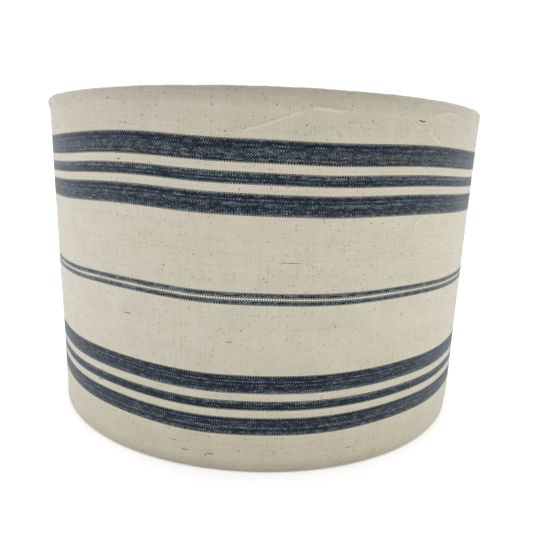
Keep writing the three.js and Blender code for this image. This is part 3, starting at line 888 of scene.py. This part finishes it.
def make_lug(node):
    """The flat lug: a stamped plate with rounded edges and a domed end, standing under the ring."""
    lo, hi = [np.array(v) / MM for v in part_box(node)]
    s = side_of(node)
    x0, x1 = (lo[0], hi[0])
    half = (hi[1] - lo[1]) / 2
    zb, zt = lo[2], hi[2]
    pts = [(half, zt), (-half, zt)] + [(-half * math.cos(a), zb + half - half * math.sin(a)) for a in np.linspace(0, math.pi, 19)]
    bm = bmesh.new()
    front = [bm.verts.new((x0 * MM, y * MM, z * MM)) for y, z in pts]
    back = [bm.verts.new((x1 * MM, y * MM, z * MM)) for y, z in pts]
    bm.faces.new(front); bm.faces.new(back[::-1])
    for i in range(len(pts)):
        j = (i + 1) % len(pts)
        bm.faces.new([front[i], front[j], back[j], back[i]])
    bmesh.ops.recalc_face_normals(bm, faces=bm.faces)
    edges = [e for e in bm.edges if len(e.link_faces) == 2 and abs(e.link_faces[0].normal.dot(e.link_faces[1].normal)) < 0.3]
    bmesh.ops.bevel(bm, geom=edges, offset=0.28 * MM, segments=3, profile=0.7, affect="EDGES")
    name = node + "_plate"
    me = bpy.data.meshes.new(name); bm.to_mesh(me); bm.free()
    for p in me.polygons:
        p.use_smooth = p.area < 2e-6
    ob = bpy.data.objects.new(name, me)
    bpy.context.scene.collection.objects.link(ob)
    ob.data.materials.append(coated)
    return ob


def weld_bead(name, centre, along, size, lumps=5):
    """A short weld: a row of overlapping drops."""
    obs = []
    c, a = np.array(centre, float), np.array(along, float)
    for i in range(lumps):
        t = (i / (lumps - 1) - 0.5) if lumps > 1 else 0
        p = c + a * t
        bm = bmesh.new()
        bmesh.ops.create_icosphere(bm, subdivisions=3, radius=1.0)
        for v in bm.verts:
            w = 1 + 0.10 * math.sin(v.co.x * 5 + i) * math.cos(v.co.z * 4 + 2 * i)
            v.co = Vector((p[0] + v.co.x * size[0] * w, p[1] + v.co.y * size[1] * w, p[2] + v.co.z * size[2] * w)) * MM
        me = bpy.data.meshes.new(name); bm.to_mesh(me); bm.free()
        for q in me.polygons:
            q.use_smooth = True
        o = bpy.data.objects.new(name, me); bpy.context.scene.collection.objects.link(o)
        obs.append(o)
    ob = join(obs, name) if len(obs) > 1 else obs[0]
    ob.data.materials.append(coated)
    return ob


def make_rivet(node):
    lo, hi = [np.array(v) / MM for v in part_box(node)]
    s = side_of(node)
    a, b = (lo[0], hi[0])
    R = (hi[1] - lo[1]) / 2
    rh = 2.0
    dome = lambda x, d: [(R * math.sin(t), x + d * 1.0 * (math.cos(t) - math.cos(math.pi / 2 * 0.92)) / (1 - math.cos(math.pi / 2 * 0.92))) for t in np.linspace(0, math.pi / 2 * 0.92, 9)]
    # the low-x head, the shank and the high-x head, as one open profile that starts and ends on the axis
    left = [(r, x) for r, x in dome(a + 1.0, -1)]
    right = [(r, x) for r, x in dome(b - 1.0, 1)][::-1]
    prof = left + [(R, a + 1.05), (R - 0.1, a + 1.10), (rh, a + 1.10), (rh, b - 1.10), (R - 0.1, b - 1.10), (R, b - 1.05)] + right
    ob = lathe(node + "_domed", prof, 40, "X", (0, 0, PIVOT_Z), closed=False)
    ob.data.materials.append(steel)
    return ob


def make_washer(node):
    lo, hi = [np.array(v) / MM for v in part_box(node)]
    R = (hi[1] - lo[1]) / 2
    prof = rounded([(2.35, lo[0]), (R, lo[0]), (R, hi[0]), (2.35, hi[0])], 0.18, 2)
    ob = lathe(node + "_spring", prof, 40, "X", (0, 0, PIVOT_Z))
    ob.data.materials.append(steel)
    return ob


def make_arm(node):
    """Wire arm: round wire, bent once, forged flat into an eye at the rivet."""
    s = side_of(node)
    lo, hi = [np.array(v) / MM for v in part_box(node)]
    eye_x0, eye_x1 = (hi[0] - 1.75, hi[0] - 0.35) if s > 0 else (lo[0] + 0.35, lo[0] + 1.75)
    low_z = lo[2] + 1.5
    wire_x = 143.7 * s
    inner_x = (lo[0] if s > 0 else hi[0])
    R = 7.0
    eye_c = (eye_x0 + eye_x1) / 2
    # the eye: a flat ring the rivet's shank turns in
    eye = lathe(node + "_eye", rounded([(2.35, eye_x0 + 0.02), (5.6, eye_x0 + 0.02), (5.6, eye_x1 - 0.02), (2.35, eye_x1 - 0.02)], 0.22, 3), 48, "X", (0, 0, PIVOT_Z))
    # centre line with half width (Y) and half thickness (across) at each station
    # neck blends into the round wire
    neck = []
    for t in np.linspace(0.15, 1, 6):
        e = t * t * (3 - 2 * t)
        neck.append((eye_c + (wire_x - eye_c) * e, PIVOT_Z - 4.9 - 3.6 * t, 3.3 + (1.5 - 3.3) * e, 0.7 + 0.8 * e))
    path = [(eye_c, PIVOT_Z - 3.4, 2.2, 0.50), (eye_c, PIVOT_Z - 4.5, 2.9, 0.64)] + neck
    zend = low_z + R
    for zz in np.linspace(path[-1][1] - 1.2, zend, 5):
        path.append((wire_x, zz, 1.5, 1.5))
    for a in np.linspace(0, math.pi / 2, 10)[1:]:
        path.append((wire_x - s * R * (1 - math.cos(a)), zend - R * math.sin(a), 1.5, 1.5))
    for x in np.linspace(path[-1][0] - s * 3, inner_x + s * 0.5, 24):
        path.append((x, low_z, 1.5, 1.5))
    path.append((inner_x + s * 0.1, low_z, 1.32, 1.32)); path.append((inner_x, low_z, 0.9, 0.9))
    C = np.array([(p[0], 0.0, p[1]) for p in path])
    T = np.gradient(C, axis=0); T /= np.linalg.norm(T, axis=1)[:, None]
    verts, rings, n = [], [], 20
    for (x, z, w, h), t in zip(path, T):
        side_v = np.cross(t, np.array([0, 1.0, 0]))
        side_v /= np.linalg.norm(side_v)
        rings.append(list(range(len(verts), len(verts) + n)))
        flat = 1 - min(max((h - 0.7) / 0.8, 0), 1)
        for k2 in range(n):
            a = 2 * math.pi * k2 / n
            ca, sa = math.cos(a), math.sin(a)
            e = 1 - 0.55 * flat              # squarer edge where it is forged flat
            cy, cs = math.copysign(abs(ca) ** e, ca), math.copysign(abs(sa) ** e, sa)
            verts.append(np.array([x, 0, z]) + np.array([0, 1.0, 0]) * cy * w + side_v * cs * h)
    faces = []
    for i in range(len(rings) - 1):
        for k2 in range(n):
            j = (k2 + 1) % n
            faces.append([rings[i][k2], rings[i][j], rings[i + 1][j], rings[i + 1][k2]])
    faces.append(rings[0][::-1]); faces.append(rings[-1])
    wire = mesh_object(node + "_rod", np.array(verts) * MM, faces)
    ob = join([eye, wire], node + "_wire")
    ob.data.materials.append(coated)
    return ob


def make_fitter():
    lo, hi = [np.array(v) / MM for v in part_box("fitter_ring")]
    R = (hi[0] - lo[0]) / 2 / math.cos(math.pi / 40)
    hole = 21.0
    prof = rounded([(hole, lo[2]), (R, lo[2]), (R, hi[2]), (hole, hi[2])], 0.35, 4)
    ob = lathe("fitter_ring_pressed", prof, 128)
    ob.data.materials.append(coated)
    return ob


def make_reducer():
    lo, hi = [np.array(v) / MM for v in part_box("reducer_ring")]
    R = (hi[0] - lo[0]) / 2 / math.cos(math.pi / 40)
    fl = hi[2] - 1.5
    prof = rounded([(14.5, lo[2] + 1.0), (15.8, lo[2] + 1.0), (15.8, fl - 0.1), (19.1, fl - 0.1), (19.1, lo[2]), (20.6, lo[2]), (20.6, fl), (R, fl), (R, hi[2]), (14.5, hi[2])], 0.4, 4)
    ob = lathe("reducer_ring_moulded", prof, 128)
    ob.data.materials.append(plastic)
    return ob


coated, steel, plastic, tape = coated_material(), steel_material(), plastic_material(), tape_material()

cloth = make_cloth()
specks = make_neps()
yarn = make_stray_yarn()
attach(cloth, "shade"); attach(specks, "shade"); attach(yarn, "shade")
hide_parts("fabric_cover")

liner = make_liner()
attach(liner, "shade"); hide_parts("liner_panel")

for node, zc in (("top_ring", RING_Z), ("bottom_ring", HEIGHT - RING_Z)):
    o = make_ring(node + "_wire", zc)
    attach(o, "shade"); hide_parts(node)
for node in ("top_ring_tape", "bottom_ring_tape"):
    o = frame["nodes"][node]
    o.data.materials.clear(); o.data.materials.append(tape)
for side in ("left", "right"):
    s = 1 if side == "right" else -1
    for kind, maker, body, sl in (("pivot_lug_", make_lug, "shade", "coated_wire"), ("pivot_rivet_", make_rivet, "shade", "rivet_steel"),
                                  ("pivot_washer_", make_washer, "shade", "rivet_steel"), ("gimbal_arm_", make_arm, "gimbal", "coated_wire")):
        o = maker(kind + side)
        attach(o, body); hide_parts(kind + side)
    w = weld_bead("lug_weld_" + side, (s * (RING_R - WIRE_R - 0.35), 0, RING_Z - 0.7), (0, 6.5, 0), (0.75, 1.3, 0.9))
    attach(w, "shade")
    fit_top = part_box("fitter_ring")[1][2] / MM
    w = weld_bead("arm_weld_" + side, (s * 27.0, 0, fit_top + 0.35), (s * 3.2, 0, 0), (1.1, 1.9, 0.75), 3)
    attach(w, "gimbal")
fitter, reducer = make_fitter(), make_reducer()
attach(fitter, "gimbal"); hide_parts("fitter_ring")
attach(reducer, "gimbal"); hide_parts("reducer_ring")

# =====================================================================================
# Floor, light and camera
# =====================================================================================
def floor_material():
    k = Nodes("pale_floor")
    P = k.coords("Object")
    col = k.ramp(k.noise(P, 3.0, 3.0), [(0.3, (0.96, 0.96, 0.96)), (0.7, (0.98, 0.98, 0.98))])
    k.put(k.p.inputs["Base Color"], col)
    k.put(k.p.inputs["Roughness"], k.lin(k.noise(P, 40.0, 2.0), 0.3, 0.7, 0.7, 0.85))
    k.p.inputs["Specular IOR Level"].default_value = 0.1
    k.p.inputs["Emission Color"].default_value = (1, 1, 1, 1)
    k.p.inputs["Emission Strength"].default_value = 0.06
    return k.mat


bpy.ops.mesh.primitive_grid_add(x_subdivisions=4, y_subdivisions=4, size=30, location=(0, 0, 0))
floor = bpy.context.object
floor.name = "studio_floor"
floor.data.materials.append(floor_material())

FRONT, SIDE, ROOF = 0.25, 0.36, 1.20
world = bpy.data.worlds.new("studio")
bpy.context.scene.world = world
world.use_nodes = True
wt = world.node_tree
bg = wt.nodes["Background"]
tc = wt.nodes.new("ShaderNodeTexCoord")
sp = wt.nodes.new("ShaderNodeSeparateXYZ")
wt.links.new(tc.outputs["Generated"], sp.inputs[0])


def wramp(src, lo, hi, a, b):
    n = wt.nodes.new("ShaderNodeMapRange"); n.interpolation_type = "SMOOTHSTEP"
    wt.links.new(src, n.inputs["Value"])
    for key, v in (("From Min", lo), ("From Max", hi), ("To Min", a), ("To Max", b)):
        n.inputs[key].default_value = v
    return n.outputs[0]


def wmath(op, a, b=None):
    n = wt.nodes.new("ShaderNodeMath"); n.operation = op
    for i, v in enumerate((a, b)):
        if isinstance(v, bpy.types.NodeSocket):
            wt.links.new(v, n.inputs[i])
        elif v is not None:
            n.inputs[i].default_value = v
    return n.outputs[0]


# a plain studio: white behind, softer towards the camera, bright panels at both sides and overhead
side = wramp(wmath("ABSOLUTE", sp.outputs[0]), 0.45, 0.95, 0.0, SIDE)
back = wramp(sp.outputs[1], 0.0, 0.6, 0.0, 1.06 - FRONT)
roof = wramp(sp.outputs[2], 0.35, 0.9, 0.0, ROOF)
tot = wmath("ADD", wmath("ADD", FRONT, wmath("MAXIMUM", side, back)), roof)
ray = wt.nodes.new("ShaderNodeLightPath")
pick = wt.nodes.new("ShaderNodeMix"); pick.data_type = "FLOAT"
wt.links.new(ray.outputs["Is Camera Ray"], pick.inputs[0])
wt.links.new(tot, pick.inputs[2])
pick.inputs[3].default_value = 1.05
wt.links.new(pick.outputs[0], bg.inputs[1])
bg.inputs[0].default_value = (1, 1, 1, 1)


def area(name, loc, target, size, power, col=(1, 1, 1)):
    d = bpy.data.lights.new(name, "AREA")
    d.shape = "RECTANGLE"; d.size, d.size_y = size
    d.energy = power; d.color = col
    o = bpy.data.objects.new(name, d)
    bpy.context.scene.collection.objects.link(o)
    o.location = loc
    o.rotation_euler = (Vector(target) - Vector(loc)).to_track_quat("-Z", "Y").to_euler()
    return o


area("soft_left", (-0.38, -0.33, 0.112), (-0.05, -0.08, 0.105), (0.36, 0.06), 0.52, (0.97, 0.99, 1.17))
area("soft_right", (0.36, -0.36, 0.112), (0.05, -0.08, 0.105), (0.36, 0.06), 0.52, (0.99, 1.0, 1.06))

# camera: the photograph's viewing angle
F_PX, CX, CY, W = 509.5, 265.9, 290.9, 533.0
RC = 0.1516
yaw, pitch, roll = 0.0116, 0.2472, 0.0339
fwd = Vector((math.sin(yaw) * math.cos(pitch), math.cos(yaw) * math.cos(pitch), -math.sin(pitch)))
right = Vector((math.cos(yaw), -math.sin(yaw), 0))
up = right.cross(fwd)
r2 = right * math.cos(roll) + up * math.sin(roll)
u2 = -right * math.sin(roll) + up * math.cos(roll)
cam_d = bpy.data.cameras.new("camera")
cam = bpy.data.objects.new("camera", cam_d)
bpy.context.scene.collection.objects.link(cam)
m = Matrix((r2, u2, -fwd)).transposed().to_4x4()
m.translation = Vector((0, -2.6934 * RC, 1.1352 * RC))
cam.matrix_world = m
cam_d.sensor_width = 36.0
cam_d.lens = F_PX / W * 36.0
cam_d.shift_x = (W / 2 - CX) / W
cam_d.shift_y = (CY - W / 2) / W
cam_d.clip_start, cam_d.clip_end = 0.01, 100
bpy.context.scene.camera = cam
bpy.context.scene.cycles.denoising_prefilter = "NONE"   # a prefiltered guide smears the weave
vs = bpy.context.scene.view_settings
vs.view_transform, vs.look, vs.exposure, vs.gamma = "Standard", "None", 0.0, 1.0
